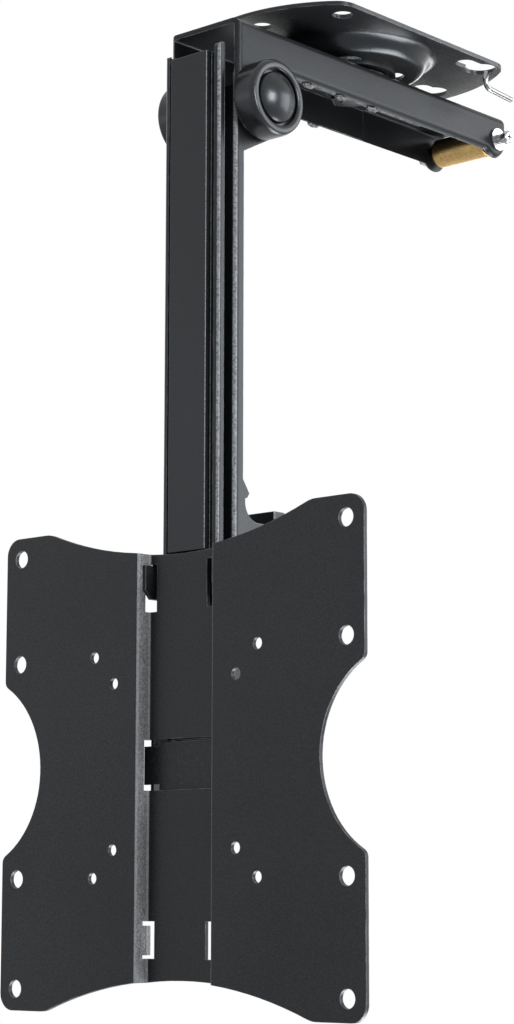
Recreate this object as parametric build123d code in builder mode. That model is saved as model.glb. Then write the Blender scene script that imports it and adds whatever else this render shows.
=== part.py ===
from build123d import *
import math
import os

os.makedirs("parts", exist_ok=True)

# Frame: +Z is up, X is the width, -Y is the screen side. The origin lies on the swivel axis
# in the top face of the ceiling plate. All sizes are millimetres.

# Sheet thicknesses and small clearances
plate_sheet = 2.0
arm_sheet = 2.5
bracket_sheet = 2.0
rail_sheet = 1.2
running_gap = 0.35
pin_play = 0.08
through_cut = 60.0
rivet_cut = 6.0

# Ceiling plate: a pressed sheet with a sunken dome, round holes and keyholes
plate_half_width = 49.5
plate_half_length = 80.0
plate_end_radius = 75.0
plate_corner_radius = 12.0
dome_rim_radius = 44.0
dome_floor_radius = 33.0
dome_depth = 7.5
fixing_hole_radius = 4.8
near_hole_y = -65.5
near_side_hole_x = 39.0
near_side_hole_y = -52.0
keyhole_wide_radius = 7.8
centre_keyhole_narrow_y = 58.2
centre_keyhole_wide_y = 67.2
side_keyhole_x = 40.5
side_keyhole_narrow_y = 41.8
side_keyhole_wide_y = 54.5
arc_slot_radius = 22.4
arc_slot_width = 9.8
arc_slot_span = 8.0
arc_slot_angle = 52.0

# Swivel: a bolt down through dome, glide disc, boss and arm
swivel_bolt_radius = 5.0
bolt_head_radius = 9.2
bolt_head_height = 6.2
glide_disc_radius = 22.8
glide_disc_height = 2.0
swivel_boss_radius = 19.0
swivel_washer_radius = 12.0
swivel_washer_height = 1.6
swivel_nut_flat = 17.0
swivel_nut_height = 4.6
swivel_thread_below = 0.8

# Arm: a channel open at the bottom, with ears for the hinge and lobes for the roller
arm_half_width = 21.65
arm_top_z = -13.1
arm_flange_z = -32.5
arm_near_y = -106.7
arm_web_far_y = 98.8
arm_far_y = 101.8
arm_far_corner = 3.6
arm_bend_radius = 3.5
hinge_y = -90.8
hinge_z = -50.5
arm_ear_radius = hinge_y - arm_near_y
roller_y = 93.2
roller_z = -26.0
lobe_radius = 9.6
lobe_centre_z = -25.9
lobe_blend_radius = 4.0
ear_blend_radius = 6.0
liner_near_y = -63.0
liner_far_y = 32.0
bead_first_y = -54.0
bead_pitch = 24.0
bead_count = 3
bead_length = 8.0
bead_radius = 1.5
liner_corner_gap = 0.3

# Roller at the far end of the arm, between two short collars
roller_radius = 7.5
roller_collar_radius = 4.6
roller_collar_height = 3.0
roller_screw_radius = 2.5
roller_washer_radius = 5.8
roller_washer_height = 1.2
screw_stand_off = 4.2
screw_head_radius = 3.4
screw_head_height = 2.6
roller_nut_flat = 8.0
roller_nut_height = 4.5
screw_beyond_nut = 1.2
screw_crest_round = 1.2
screw_recess_depth = 1.6
screw_recess_length = 3.6
screw_recess_width = 0.8

# Main hinge: shaft, sleeve and the two round caps
shaft_radius = 5.0
shaft_nut_flat = 17.0
shaft_nut_height = 5.0
cap_radius = 18.0
cap_crest_radius = 15.6
cap_groove_radius = 13.5
button_radius = 12.1
right_cap_depth = 11.6
left_cap_depth = 6.6
cap_side_share = 0.72
cap_groove_depth = 3.0
cap_bore_radius = 10.2
cap_floor_height = 1.5
button_rise = 2.4
button_rim_height = 2.2
shaft_head_radius = 9.0
shaft_head_height = 2.0
shaft_thread_beyond_nut = 1.5
sleeve_radius = 8.0

# Column: rear bracket with hinge ears, barbs and a wide foot
bracket_half_width = arm_half_width - arm_sheet - running_gap
bracket_front_y = -104.8
bracket_rear_y = -99.1
bracket_ear_radius = 18.1
bracket_bend_radius = 2.6
ear_slope_z = -75.3
bracket_web_top_z = -44.0
bracket_web_bottom_z = -322.0
barb_top_z = -228.8
barb_tip_y = -94.8
barb_tip_z = -235.1
barb_heel_y = -96.3
barb_heel_z = -237.3
neck_y = -97.6
foot_top_z = -248.0
foot_rear_y = -77.3
foot_slope_z = -282.0
shank_rear_y = -93.5
shank_top_z = -295.0
foot_fillet_radius = 9.0
tilt_y = -94.0
tilt_z = -345.5
tilt_ear_radius = tilt_y - bracket_front_y

# Catch bracket on the rear of the foot, passing just outside the roller when folded
catch_half_width = bracket_half_width - running_gap
catch_top_z = -241.0
catch_bottom_z = -280.0
catch_rear_y = -68.7
catch_chamfer = 2.0

# Front rail and its cover strip
rail_half_width = 17.3
rail_front_y = -114.5
rail_depth = 5.0
rail_lip_x = 14.2
rail_corner_radius = 2.0
rail_top_z = -26.0
rail_bottom_z = -346.0
rail_top_round = 2.4
cover_top_z = -29.5
cover_bottom_z = -345.0
cover_sheet = 1.0
cover_half_width = 15.6
cover_rib_x = 9.5
spacer_half_width = 12.0
spacer_top_z = -46.0
spacer_bottom_z = -318.0
rivet_radius = 2.5
rivet_head_radius = 4.4
rivet_head_height = 1.2
rivet_tail_height = 1.5
rivet_pitch = 62.0
rivet_count = 4
rivet_middle_z = -185.0

# Screen plate: pressed sheet with a sunken middle channel and a waisted outline
screen_front_y = -124.0
screen_centre_z = -357.5
screen_half_size = 109.9
screen_corner_radius = 8.0
channel_half_front = 22.7
channel_half_floor = 21.8
channel_depth = 7.0
waist_floor_z = 94.8
waist_radius = 222.0
side_waist_x = 85.2
side_waist_radius = 45.0
waist_lobe_round = 14.0
side_lobe_round = 4.0
bend_radius = 1.5
outer_hole_radius = 4.1
inner_hole_radius = 2.6
vesa_outer = 200.0
vesa_outer_short = 100.0
vesa_middle = 100.0
vesa_small = 75.0

# Windows in the channel of the screen plate
window_left_x = -17.5
window_right_x = 13.5
window_front_depth = 4.4
top_window_high = 91.2
top_window_low = 69.4
middle_window_high = 11.6
middle_window_low = -11.1
bottom_window_high = -69.0
bottom_window_low = -85.4
bottom_tab_high = -70.9
bottom_tab_low = -83.9
bottom_tab_inset = 4.2

# Tilt bracket behind the screen plate
tilt_flange_gap = 1.5
tilt_web_half = 17.0
tilt_web_high = 10.5
tilt_web_low = -42.0
tilt_bridge_high = 8.9
tilt_bridge_low = -8.3
tilt_flange_high = 93.0
tilt_flange_low = -20.0
tilt_flange_depth = 11.0
tilt_bridge_half = 26.5
tilt_lobe_radius = 13.0
lug_high = 90.6
lug_low = 75.2
lug_tip_depth = 2.6
lug_round = 4.0
lug_notch_depth = 6.0
lug_notch_low = 68.0
tilt_bolt_radius = 4.0
tilt_sleeve_radius = 6.5
tilt_thread_beyond_nut = 1.5
tilt_bolt_head_radius = 7.4
tilt_bolt_head_height = 4.6
tilt_nut_flat = 13.0
tilt_nut_height = 6.5
tilt_washer_radius = 8.5
tilt_washer_height = 1.6
tilt_glide_radius = 10.0
tilt_neck_rise = 28.6
tilt_shoulder_y = 10.4
tilt_shoulder_rise = 7.8
tilt_shoulder_round = 3.0

# Bent steel rod that leans on the far edge of the right keyhole, clear above the arm
rod_radius = 1.4
rod_rest_gap = 0.05
rod_x = 39.5
rod_top_z = -1.6
rod_bend_y = 58.5
rod_bend_z = -9.7
rod_end_y = 81.3
rod_end_z = -11.3
rod_bend_radius = 4.0
keyhole_edge_y = side_keyhole_wide_y + math.sqrt(keyhole_wide_radius**2 - (side_keyhole_x - rod_x) ** 2)
rod_top_y = keyhole_edge_y - rod_radius - rod_rest_gap

# Pressed ceiling plate with its sunken round dome
plate_corner_y = plate_half_length - plate_end_radius + math.sqrt(plate_end_radius**2 - plate_half_width**2)
dome_floor_z = -plate_sheet - dome_depth
with BuildPart() as ceiling_plate:
    with BuildSketch(Plane.XY.offset(-plate_sheet)) as plate_outline:
        with BuildLine():
            ThreePointArc(
                (-plate_half_width, -plate_corner_y),
                (0, -plate_half_length),
                (plate_half_width, -plate_corner_y),
            )
            Line((plate_half_width, -plate_corner_y), (plate_half_width, plate_corner_y))
            ThreePointArc(
                (plate_half_width, plate_corner_y),
                (0, plate_half_length),
                (-plate_half_width, plate_corner_y),
            )
            Line((-plate_half_width, plate_corner_y), (-plate_half_width, -plate_corner_y))
        make_face()
        fillet(plate_outline.vertices(), plate_corner_radius)
    extrude(amount=plate_sheet)
    with BuildSketch(Plane.XY.offset(-plate_sheet)):
        Circle(dome_rim_radius)
    extrude(amount=plate_sheet, mode=Mode.SUBTRACT)
    with BuildSketch(Plane.XZ):
        with BuildLine():
            Line((0, dome_floor_z), (dome_floor_radius, dome_floor_z))
            Spline(
                (dome_floor_radius, dome_floor_z),
                (dome_rim_radius, -plate_sheet),
                tangents=((1, 0), (1, 0)),
            )
            Line((dome_rim_radius, -plate_sheet), (dome_rim_radius, 0))
            Spline((dome_rim_radius, 0), (dome_floor_radius, -dome_depth), tangents=((-1, 0), (-1, 0)))
            Line((dome_floor_radius, -dome_depth), (0, -dome_depth))
            Line((0, -dome_depth), (0, dome_floor_z))
        make_face()
    revolve(axis=Axis.Z)
    # Swivel hole and the four arc slots in the dome floor
    with BuildSketch(Plane.XY.offset(dome_floor_z)):
        Circle(swivel_bolt_radius + pin_play)
        for slot_middle in (arc_slot_angle, 180 - arc_slot_angle, 180 + arc_slot_angle, -arc_slot_angle):
            slot_line = CenterArc((0, 0), arc_slot_radius, slot_middle - arc_slot_span / 2, arc_slot_span)
            SlotArc(slot_line, arc_slot_width)
    extrude(amount=plate_sheet, mode=Mode.SUBTRACT)
    # Three round holes at the near end and three keyholes at the far end
    with BuildSketch(Plane.XY.offset(-plate_sheet)):
        with Locations(
            (0, near_hole_y), (near_side_hole_x, near_side_hole_y), (-near_side_hole_x, near_side_hole_y)
        ):
            Circle(fixing_hole_radius)
        centre_slot_y = (centre_keyhole_narrow_y + centre_keyhole_wide_y) / 2
        with Locations((0, centre_slot_y)):
            SlotCenterToCenter(
                centre_keyhole_wide_y - centre_keyhole_narrow_y, 2 * fixing_hole_radius, rotation=90
            )
        with Locations((0, centre_keyhole_wide_y)):
            Circle(keyhole_wide_radius)
        side_slot_y = (side_keyhole_narrow_y + side_keyhole_wide_y) / 2
        with Locations((side_keyhole_x, side_slot_y), (-side_keyhole_x, side_slot_y)):
            SlotCenterToCenter(
                side_keyhole_wide_y - side_keyhole_narrow_y, 2 * fixing_hole_radius, rotation=90
            )
        with Locations((side_keyhole_x, side_keyhole_wide_y), (-side_keyhole_x, side_keyhole_wide_y)):
            Circle(keyhole_wide_radius)
    extrude(amount=plate_sheet, mode=Mode.SUBTRACT)
ceiling_plate.part.label = "ceiling_plate"
export_step(ceiling_plate.part, "parts/ceiling_plate.step")

# Bent steel rod in the wide end of the right keyhole
with BuildPart() as hanger_rod:
    with BuildLine() as rod_path:
        FilletPolyline(
            (rod_x, rod_top_y, rod_top_z),
            (rod_x, rod_bend_y, rod_bend_z),
            (rod_x, rod_end_y, rod_end_z),
            radius=rod_bend_radius,
        )
    with BuildSketch(Plane(origin=rod_path.line @ 0, z_dir=rod_path.line % 0)):
        Circle(rod_radius)
    sweep()
hanger_rod.part.label = "hanger_rod"
export_step(hanger_rod.part, "parts/hanger_rod.step")

# Swivel bolt: low head in the dome, shank down through the arm
boss_top_z = dome_floor_z - glide_disc_height - running_gap
liner_floor_z = arm_top_z - arm_sheet - rail_sheet
swivel_washer_top_z = liner_floor_z - running_gap
swivel_nut_top_z = swivel_washer_top_z - swivel_washer_height
swivel_bolt_end_z = swivel_nut_top_z - swivel_nut_height - swivel_thread_below
with BuildPart() as swivel_bolt:
    with BuildSketch(Plane.XY.offset(-dome_depth)):
        RegularPolygon(bolt_head_radius, 6)
    extrude(amount=bolt_head_height)
    with BuildSketch(Plane.XY.offset(swivel_bolt_end_z)):
        Circle(swivel_bolt_radius)
    extrude(amount=-dome_depth - swivel_bolt_end_z)
    chamfer(swivel_bolt.faces().sort_by(Axis.Z)[0].edges(), 0.8)
swivel_bolt.part.label = "swivel_bolt"
export_step(swivel_bolt.part, "parts/swivel_bolt.step")

# Plastic disc the arm turns against, fixed under the dome floor
with BuildPart() as glide_disc:
    with BuildSketch(Plane.XY.offset(dome_floor_z - glide_disc_height)):
        Circle(glide_disc_radius)
        Circle(swivel_bolt_radius + pin_play, mode=Mode.SUBTRACT)
    extrude(amount=glide_disc_height)
glide_disc.part.label = "glide_disc"
export_step(glide_disc.part, "parts/glide_disc.step")

# Steel boss on top of the arm
with BuildPart() as swivel_boss:
    with BuildSketch(Plane.XY.offset(arm_top_z)):
        Circle(swivel_boss_radius)
        Circle(swivel_bolt_radius + pin_play, mode=Mode.SUBTRACT)
    extrude(amount=boss_top_z - arm_top_z)
    chamfer(swivel_boss.faces().sort_by(Axis.Z)[-1].edges().sort_by(SortBy.LENGTH)[-1:], 0.6)
swivel_boss.part.label = "swivel_boss"
export_step(swivel_boss.part, "parts/swivel_boss.step")

# Washer and lock nut under the arm
with BuildPart() as swivel_washer:
    with BuildSketch(Plane.XY.offset(swivel_nut_top_z)):
        Circle(swivel_washer_radius)
        Circle(swivel_bolt_radius + pin_play, mode=Mode.SUBTRACT)
    extrude(amount=swivel_washer_height)
swivel_washer.part.label = "swivel_washer"
export_step(swivel_washer.part, "parts/swivel_washer.step")

with BuildPart() as swivel_nut:
    with BuildSketch(Plane.XY.offset(swivel_nut_top_z - swivel_nut_height)):
        RegularPolygon(swivel_nut_flat / 2, 6, major_radius=False)
        Circle(swivel_bolt_radius, mode=Mode.SUBTRACT)
    extrude(amount=swivel_nut_height)
swivel_nut.part.label = "swivel_nut"
export_step(swivel_nut.part, "parts/swivel_nut.step")

# Arm channel: pressed sheet, open below, round hinge ears in front and roller lobes behind
arm_inner_x = arm_half_width - arm_sheet
with BuildPart() as arm_channel:
    with BuildSketch(Plane.YZ.offset(-arm_half_width)) as arm_side:
        lobe_centre_y = arm_far_y - lobe_radius
        with Locations(((arm_near_y + lobe_centre_y) / 2, (arm_top_z + arm_flange_z) / 2)):
            Rectangle(lobe_centre_y - arm_near_y, arm_top_z - arm_flange_z)
        with Locations((lobe_centre_y, lobe_centre_z)):
            Circle(lobe_radius)
        with Locations(((lobe_centre_y + arm_far_y) / 2, (arm_top_z + lobe_centre_z) / 2)):
            Rectangle(lobe_radius, arm_top_z - lobe_centre_z)
        fillet(arm_side.vertices().group_by(Axis.Y)[-1].sort_by(Axis.X)[-1:], arm_far_corner)
        with Locations((hinge_y, hinge_z)):
            Circle(arm_ear_radius)
        with Locations((hinge_y, (hinge_z + arm_flange_z) / 2)):
            Rectangle(2 * arm_ear_radius, arm_flange_z - hinge_z)
        flange_corners = arm_side.vertices().filter_by(lambda v: abs(v.Y - arm_flange_z) < 0.01)
        fillet(flange_corners.sort_by(Axis.X)[-1:], lobe_blend_radius)
        flange_corners = arm_side.vertices().filter_by(lambda v: abs(v.Y - arm_flange_z) < 0.01)
        fillet(flange_corners.sort_by(Axis.X)[:1], ear_blend_radius)
    extrude(amount=2 * arm_half_width)
    top_edges = arm_channel.edges().filter_by(Axis.Y).group_by(Axis.Z)[-1]
    fillet(top_edges, arm_bend_radius)
    with BuildSketch(Plane.XZ.offset(-arm_near_y)) as arm_inside:
        with Locations((0, arm_top_z - arm_sheet)):
            Rectangle(2 * arm_inner_x, through_cut, align=(Align.CENTER, Align.MAX))
        fillet(arm_inside.vertices().group_by(Axis.Y)[-1], arm_bend_radius - arm_sheet)
    extrude(amount=arm_near_y - arm_far_y, mode=Mode.SUBTRACT)
    with BuildSketch(Plane.XY.offset(arm_top_z - 2 * arm_sheet)):
        with Locations((0, arm_web_far_y)):
            Rectangle(2 * arm_inner_x, through_cut, align=(Align.CENTER, Align.MIN))
    extrude(amount=3 * arm_sheet, mode=Mode.SUBTRACT)
    with Locations((0, 0, arm_top_z)):
        Cylinder(swivel_bolt_radius + pin_play, 3 * arm_sheet, mode=Mode.SUBTRACT)
    with Locations(Location((0, hinge_y, hinge_z), (0, 90, 0))):
        Cylinder(shaft_radius + pin_play, through_cut, mode=Mode.SUBTRACT)
    with Locations(Location((0, roller_y, roller_z), (0, 90, 0))):
        Cylinder(roller_screw_radius + pin_play, through_cut, mode=Mode.SUBTRACT)
arm_channel.part.label = "arm_channel"
export_step(arm_channel.part, "parts/arm_channel.step")

# Inner liner that stiffens the arm around the swivel bolt
liner_half_width = arm_inner_x - pin_play
with BuildPart() as arm_liner:
    with BuildSketch(Plane.XZ.offset(-liner_near_y)) as liner_outside:
        with Locations((0, (arm_top_z - arm_sheet + arm_flange_z) / 2)):
            Rectangle(2 * liner_half_width, arm_top_z - arm_sheet - arm_flange_z)
        fillet(liner_outside.vertices().group_by(Axis.Y)[-1], arm_bend_radius - arm_sheet + liner_corner_gap)
        with Locations((0, (liner_floor_z + arm_flange_z) / 2)):
            Rectangle(2 * liner_half_width - 2 * rail_sheet, liner_floor_z - arm_flange_z, mode=Mode.SUBTRACT)
    extrude(amount=-(liner_far_y - liner_near_y))
    with Locations((0, 0, liner_floor_z)):
        Cylinder(swivel_bolt_radius + pin_play, 4 * rail_sheet, mode=Mode.SUBTRACT)
arm_liner.part.label = "arm_liner"
export_step(arm_liner.part, "parts/arm_liner.step")

# Weld beads that join the liner to the lower edges of the arm
bead_x = arm_inner_x - pin_play / 2
with BuildPart() as weld_bead:
    with BuildSketch(Plane.XY.offset(arm_flange_z)):
        Ellipse(bead_radius, bead_length / 2)
        with Locations((-bead_radius, 0)):
            Rectangle(2 * bead_radius, bead_length, mode=Mode.SUBTRACT)
    revolve(axis=Axis((0, 0, arm_flange_z), (0, 1, 0)), revolution_arc=180)
with BuildPart() as arm_welds:
    for bead_side in (-bead_x, bead_x):
        for bead_number in range(bead_count):
            with Locations((bead_side, bead_first_y + bead_number * bead_pitch, 0)):
                add(weld_bead.part)
arm_welds.part.label = "arm_welds"
export_step(arm_welds.part, "parts/arm_welds.step")

# Collars on the inner faces of the lobes, which keep the roller in the middle
roller_half_length = arm_inner_x - roller_collar_height - running_gap
with BuildPart() as roller_collars:
    for collar_x in (arm_inner_x - roller_collar_height, -arm_inner_x):
        with BuildSketch(Plane.YZ.offset(collar_x)):
            with Locations((roller_y, roller_z)):
                Circle(roller_collar_radius)
                Circle(roller_screw_radius + pin_play, mode=Mode.SUBTRACT)
        extrude(amount=roller_collar_height)
roller_collars.part.label = "roller_collars"
export_step(roller_collars.part, "parts/roller_collars.step")

# Roller between the collars
with BuildPart() as catch_roller:
    with BuildSketch(Plane.YZ.offset(-roller_half_length)):
        with Locations((roller_y, roller_z)):
            Circle(roller_radius)
            Circle(roller_screw_radius + pin_play, mode=Mode.SUBTRACT)
    extrude(amount=2 * roller_half_length)
    chamfer(catch_roller.edges().filter_by(GeomType.CIRCLE).sort_by(SortBy.LENGTH)[-2:], 0.4)
catch_roller.part.label = "catch_roller"
export_step(catch_roller.part, "parts/catch_roller.step")

# Roller screw with a cross recess, standing a little off its washer, and its nut
screw_head_x = arm_half_width + roller_washer_height + screw_stand_off
roller_nut_x = arm_half_width + roller_washer_height
screw_tip_x = roller_nut_x + roller_nut_height + screw_beyond_nut
with BuildPart() as roller_screw:
    with BuildSketch(Plane.YZ.offset(-screw_tip_x)):
        with Locations((roller_y, roller_z)):
            Circle(roller_screw_radius)
    extrude(amount=screw_head_x + screw_tip_x)
    with BuildSketch(Plane.YZ.offset(screw_head_x)):
        with Locations((roller_y, roller_z)):
            Circle(screw_head_radius)
    extrude(amount=screw_head_height)
    fillet(roller_screw.faces().sort_by(Axis.X)[-1].edges(), screw_crest_round)
    with BuildSketch(Plane.YZ.offset(screw_head_x + screw_head_height - screw_recess_depth)):
        with Locations((roller_y, roller_z)):
            Rectangle(screw_recess_length, screw_recess_width)
            Rectangle(screw_recess_width, screw_recess_length)
    extrude(amount=screw_recess_depth, mode=Mode.SUBTRACT)
roller_screw.part.label = "roller_screw"
export_step(roller_screw.part, "parts/roller_screw.step")

with BuildPart() as roller_washers:
    for washer_x in (arm_half_width, -arm_half_width - roller_washer_height):
        with BuildSketch(Plane.YZ.offset(washer_x)):
            with Locations((roller_y, roller_z)):
                Circle(roller_washer_radius)
                Circle(roller_screw_radius + pin_play, mode=Mode.SUBTRACT)
        extrude(amount=roller_washer_height)
roller_washers.part.label = "roller_washers"
export_step(roller_washers.part, "parts/roller_washers.step")

with BuildPart() as roller_nut:
    with BuildSketch(Plane.YZ.offset(-roller_nut_x - roller_nut_height)):
        with Locations((roller_y, roller_z)):
            RegularPolygon(roller_nut_flat / 2, 6, major_radius=False)
            Circle(roller_screw_radius, mode=Mode.SUBTRACT)
    extrude(amount=roller_nut_height)
roller_nut.part.label = "roller_nut"
export_step(roller_nut.part, "parts/roller_nut.step")

# Main hinge shaft: low head on the left, nut on the right
shaft_end_x = arm_half_width + shaft_nut_height + shaft_thread_beyond_nut
with BuildPart() as hinge_shaft:
    with BuildSketch(Plane.YZ.offset(-arm_half_width)):
        with Locations((hinge_y, hinge_z)):
            Circle(shaft_radius)
    extrude(amount=arm_half_width + shaft_end_x)
    with BuildSketch(Plane.YZ.offset(-arm_half_width - shaft_head_height)):
        with Locations((hinge_y, hinge_z)):
            Circle(shaft_head_radius)
    extrude(amount=shaft_head_height)
hinge_shaft.part.label = "hinge_shaft"
export_step(hinge_shaft.part, "parts/hinge_shaft.step")

with BuildPart() as hinge_nut:
    with BuildSketch(Plane.YZ.offset(arm_half_width)):
        with Locations((hinge_y, hinge_z)):
            RegularPolygon(shaft_nut_flat / 2, 6, major_radius=False)
            Circle(shaft_radius, mode=Mode.SUBTRACT)
    extrude(amount=shaft_nut_height)
hinge_nut.part.label = "hinge_nut"
export_step(hinge_nut.part, "parts/hinge_nut.step")

# Round plastic caps over both ends of the shaft, each with a domed button in a groove
hinge_axis = Axis((0, hinge_y, hinge_z), (1, 0, 0))
cap_plane = Plane(origin=(0, hinge_y, hinge_z), x_dir=(1, 0, 0), z_dir=(0, -1, 0))
with BuildPart() as hinge_cap_right:
    with BuildSketch(cap_plane):
        with BuildLine():
            right_face_x = arm_half_width + right_cap_depth
            right_floor_x = right_face_x - cap_groove_depth
            right_side_x = arm_half_width + cap_side_share * right_cap_depth
            Line((arm_half_width, cap_bore_radius), (arm_half_width, cap_radius))
            Line((arm_half_width, cap_radius), (right_side_x, cap_radius))
            Spline((right_side_x, cap_radius), (right_face_x, cap_crest_radius), tangents=((1, 0), (0, -1)))
            Spline(
                (right_face_x, cap_crest_radius), (right_face_x - 0.7, cap_groove_radius),
                tangents=((0, -1), (-1, -0.6)),
            )
            Line((right_face_x - 0.7, cap_groove_radius), (right_floor_x, cap_groove_radius))
            Line((right_floor_x, cap_groove_radius), (right_floor_x, 0))
            Line((right_floor_x, 0), (right_floor_x - cap_floor_height, 0))
            Line((right_floor_x - cap_floor_height, 0), (right_floor_x - cap_floor_height, cap_bore_radius))
            Line((right_floor_x - cap_floor_height, cap_bore_radius), (arm_half_width, cap_bore_radius))
        make_face()
    revolve(axis=hinge_axis)
hinge_cap_right.part.label = "hinge_cap_right"
export_step(hinge_cap_right.part, "parts/hinge_cap_right.step")

with BuildPart() as hinge_cap_left:
    with BuildSketch(cap_plane):
        with BuildLine():
            left_face_x = -arm_half_width - left_cap_depth
            left_floor_x = left_face_x + cap_groove_depth
            left_side_x = -arm_half_width - cap_side_share * left_cap_depth
            Line((-arm_half_width, cap_bore_radius), (-arm_half_width, cap_radius))
            Line((-arm_half_width, cap_radius), (left_side_x, cap_radius))
            Spline((left_side_x, cap_radius), (left_face_x, cap_crest_radius), tangents=((-1, 0), (0, -1)))
            Spline(
                (left_face_x, cap_crest_radius), (left_face_x + 0.7, cap_groove_radius),
                tangents=((0, -1), (1, -0.6)),
            )
            Line((left_face_x + 0.7, cap_groove_radius), (left_floor_x, cap_groove_radius))
            Line((left_floor_x, cap_groove_radius), (left_floor_x, 0))
            Line((left_floor_x, 0), (left_floor_x + cap_floor_height, 0))
            Line((left_floor_x + cap_floor_height, 0), (left_floor_x + cap_floor_height, cap_bore_radius))
            Line((left_floor_x + cap_floor_height, cap_bore_radius), (-arm_half_width, cap_bore_radius))
        make_face()
    revolve(axis=hinge_axis)
hinge_cap_left.part.label = "hinge_cap_left"
export_step(hinge_cap_left.part, "parts/hinge_cap_left.step")

with BuildPart() as hinge_button_right:
    with BuildSketch(cap_plane):
        with BuildLine():
            right_rim_x = right_floor_x + button_rim_height
            Line((right_floor_x, 0), (right_floor_x, button_radius))
            Line((right_floor_x, button_radius), (right_rim_x, button_radius))
            Spline(
                (right_rim_x, button_radius), (right_rim_x + button_rise, 0), tangents=((1, -0.5), (0, -1))
            )
            Line((right_rim_x + button_rise, 0), (right_floor_x, 0))
        make_face()
    revolve(axis=hinge_axis)
hinge_button_right.part.label = "hinge_button_right"
export_step(hinge_button_right.part, "parts/hinge_button_right.step")

with BuildPart() as hinge_button_left:
    with BuildSketch(cap_plane):
        with BuildLine():
            left_rim_x = left_floor_x - button_rim_height
            Line((left_floor_x, 0), (left_floor_x, button_radius))
            Line((left_floor_x, button_radius), (left_rim_x, button_radius))
            Spline(
                (left_rim_x, button_radius), (left_rim_x - button_rise, 0), tangents=((-1, -0.5), (0, -1))
            )
            Line((left_rim_x - button_rise, 0), (left_floor_x, 0))
        make_face()
    revolve(axis=hinge_axis)
hinge_button_left.part.label = "hinge_button_left"
export_step(hinge_button_left.part, "parts/hinge_button_left.step")

# Rear bracket of the column: one pressed channel with hinge ears, barbs, a wide foot and tilt ears
bracket_inner_x = bracket_half_width - bracket_sheet
bracket_depth = 2 * (foot_rear_y - bracket_front_y)
bracket_length = hinge_z - tilt_z + 4 * bracket_ear_radius
slope_dy = bracket_rear_y - hinge_y
slope_dz = ear_slope_z - hinge_z
slope_length = math.hypot(slope_dy, slope_dz)
slope_angle = math.atan2(slope_dz, slope_dy) + math.acos(bracket_ear_radius / slope_length)
slope_touch = (
    hinge_y + bracket_ear_radius * math.cos(slope_angle),
    hinge_z + bracket_ear_radius * math.sin(slope_angle),
)
with BuildPart() as rear_bracket:
    with BuildSketch(Plane.YZ.offset(-bracket_half_width)) as bracket_side:
        with Locations((hinge_y, hinge_z)):
            Circle(bracket_ear_radius)
        with BuildLine():
            Polyline(
                (bracket_front_y, hinge_z),
                (bracket_front_y, tilt_z),
                (tilt_y, tilt_z),
                (shank_rear_y, tilt_z),
                (shank_rear_y, shank_top_z),
                (foot_rear_y, foot_slope_z),
                (foot_rear_y, foot_top_z),
                (neck_y, foot_top_z),
                (neck_y, barb_heel_z),
                (barb_heel_y, barb_heel_z),
                (barb_tip_y, barb_tip_z),
                (bracket_rear_y, barb_top_z),
                (bracket_rear_y, ear_slope_z),
                slope_touch,
                (hinge_y, hinge_z),
                (bracket_front_y, hinge_z),
            )
        make_face()
        neck_corners = bracket_side.vertices().filter_by(lambda v: abs(v.Y - foot_top_z) < 0.01)
        fillet(neck_corners.sort_by(Axis.X)[:1], foot_fillet_radius)
        with Locations((tilt_y, tilt_z)):
            Circle(tilt_ear_radius)
        with Locations((bracket_front_y, hinge_z)):
            Rectangle(
                bracket_ear_radius,
                4 * bracket_ear_radius,
                align=(Align.MAX, Align.CENTER),
                mode=Mode.SUBTRACT,
            )
    extrude(amount=2 * bracket_half_width)
    with BuildSketch(Plane.XY.offset(tilt_z - 2 * tilt_ear_radius)) as bracket_section:
        with Locations((0, bracket_front_y)):
            Rectangle(2 * bracket_half_width, bracket_depth, align=(Align.CENTER, Align.MIN))
        fillet(bracket_section.vertices().group_by(Axis.Y)[0], bracket_bend_radius)
    extrude(amount=bracket_length, mode=Mode.INTERSECT)
    with BuildSketch(Plane.YZ.offset(-bracket_inner_x)):
        with Locations((bracket_front_y + bracket_sheet, (hinge_z + tilt_z) / 2)):
            Rectangle(bracket_depth, bracket_length, align=(Align.MIN, Align.CENTER))
        with Locations((bracket_front_y, bracket_web_top_z)):
            Rectangle(bracket_depth, 2 * bracket_ear_radius, align=(Align.CENTER, Align.MIN))
        with Locations((bracket_front_y, bracket_web_bottom_z)):
            Rectangle(bracket_depth, 2 * bracket_ear_radius, align=(Align.CENTER, Align.MAX))
    extrude(amount=2 * bracket_inner_x, mode=Mode.SUBTRACT)
    with Locations(Location((0, hinge_y, hinge_z), (0, 90, 0))):
        Cylinder(shaft_radius + pin_play, through_cut, mode=Mode.SUBTRACT)
    with Locations(Location((0, tilt_y, tilt_z), (0, 90, 0))):
        Cylinder(tilt_bolt_radius + pin_play, through_cut, mode=Mode.SUBTRACT)
    with Locations(Location((0, bracket_front_y, rivet_middle_z), (90, 0, 0))):
        with GridLocations(1, rivet_pitch, 1, rivet_count):
            Cylinder(rivet_radius + pin_play, rivet_cut, mode=Mode.SUBTRACT)
rear_bracket.part.label = "rear_bracket"
export_step(rear_bracket.part, "parts/rear_bracket.step")

# Sleeves between the ears keep them apart on the shaft and on the tilt bolt
with BuildPart() as hinge_sleeve:
    with BuildSketch(Plane.YZ.offset(-bracket_inner_x)):
        with Locations((hinge_y, hinge_z)):
            Circle(sleeve_radius)
            Circle(shaft_radius + pin_play, mode=Mode.SUBTRACT)
    extrude(amount=2 * bracket_inner_x)
hinge_sleeve.part.label = "hinge_sleeve"
export_step(hinge_sleeve.part, "parts/hinge_sleeve.step")

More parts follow.
